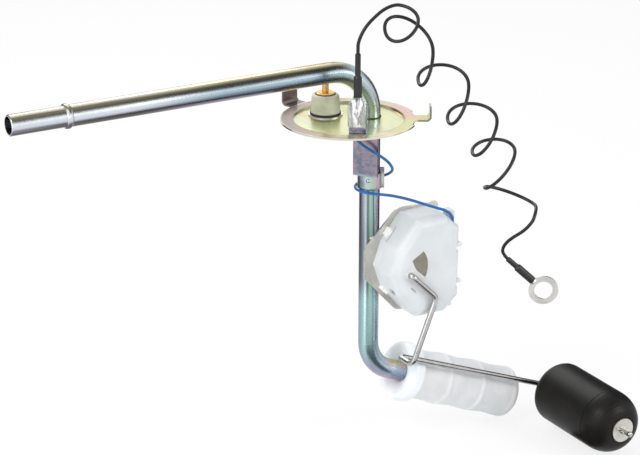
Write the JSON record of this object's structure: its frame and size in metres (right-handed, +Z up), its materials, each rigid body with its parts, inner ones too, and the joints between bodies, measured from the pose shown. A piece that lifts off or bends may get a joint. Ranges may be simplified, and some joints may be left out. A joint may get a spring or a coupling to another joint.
{
  "type": "fuel level sender",
  "caption": "Round tank plate with a bent pickup tube and strainer, a boxed level sender on the tube, a cranked arm with a black float and a curly ground lead.",
  "frame": {"origin": "centre of the mounting plate's rim, on the underside that seats on the tank", "axes": "+Z up, out of the tank; -X along the outlet tube; the sender housing faces -Y"},
  "size_m": [0.2889, 0.1139, 0.226],
  "materials": {
    "zinc_gold": "yellow chromated zinc plating, pink and green tints",
    "zinc_bright": "bright zinc plating with faint rainbow tints",
    "zinc_grey": "grey zinc plating with a violet tint",
    "steel_plain": "plain steel sheet, satin",
    "wire_steel": "drawn steel wire, bright",
    "black_rubber": "black rubber, matt",
    "cream_plastic": "pale greenish cream moulding",
    "brass_turned": "turned brass",
    "tinned_metal": "tinned sheet, pale",
    "blue_sheath": "blue insulation, semi-gloss",
    "clear_sleeve": "clear soft sleeve",
    "black_shrink": "black shrink tubing",
    "black_sheath": "black insulation, semi-gloss",
    "white_moulding": "natural white moulding, slightly translucent",
    "strainer_mesh": "white fine mesh sleeve",
    "card_board": "brown laminate with wire winding",
    "spring_bronze": "spring bronze",
    "float_foam": "satin black closed-cell foam"
  },
  "bodies": {
    "frame": {"mounting_plate": "zinc_gold", "pickup_tube": "zinc_bright", "tube_bracket": "zinc_grey", "terminal_washer": "steel_plain", "terminal_seal": "black_rubber", "terminal_insulator": "cream_plastic", "terminal_stud": "brass_turned", "terminal_bush": "cream_plastic", "signal_lug": "tinned_metal", "terminal_nut": "brass_turned", "signal_wire": "blue_sheath", "ground_blade": "zinc_grey", "spade_receptacle": "tinned_metal", "spade_sleeve": "clear_sleeve", "lead_boot": "black_shrink", "lead_start": "black_sheath", "lead_curl": "black_sheath", "lead_end": "black_sheath", "ring_boot": "black_shrink", "ring_terminal": "tinned_metal", "sender_plate": "steel_plain", "sender_housing": "white_moulding", "resistor_card": "card_board", "card_terminal": "tinned_metal", "bearing_plate": "steel_plain", "strainer_collar": "white_moulding", "strainer_frame": "white_moulding", "strainer_sleeve": "strainer_mesh"},
    "arm": {"arm_wire": "wire_steel", "rotor_hub": "white_moulding", "contact_spring": "spring_bronze", "float_washer": "steel_plain"},
    "float": {"float": "float_foam"}
  },
  "joints": [
    {"name": "arm_hinge", "type": "hinge", "parent": "frame", "child": "arm", "pos_m": [0.0193, -0.014, -0.0716], "axis": [0, -1, 0], "range_deg": [0, 60]},
    {"name": "float_spin", "type": "hinge", "parent": "arm", "child": "float", "pos_m": [0.1102, -0.0434, -0.1529], "axis": [0, -1, 0], "continuous": true}
  ]
}
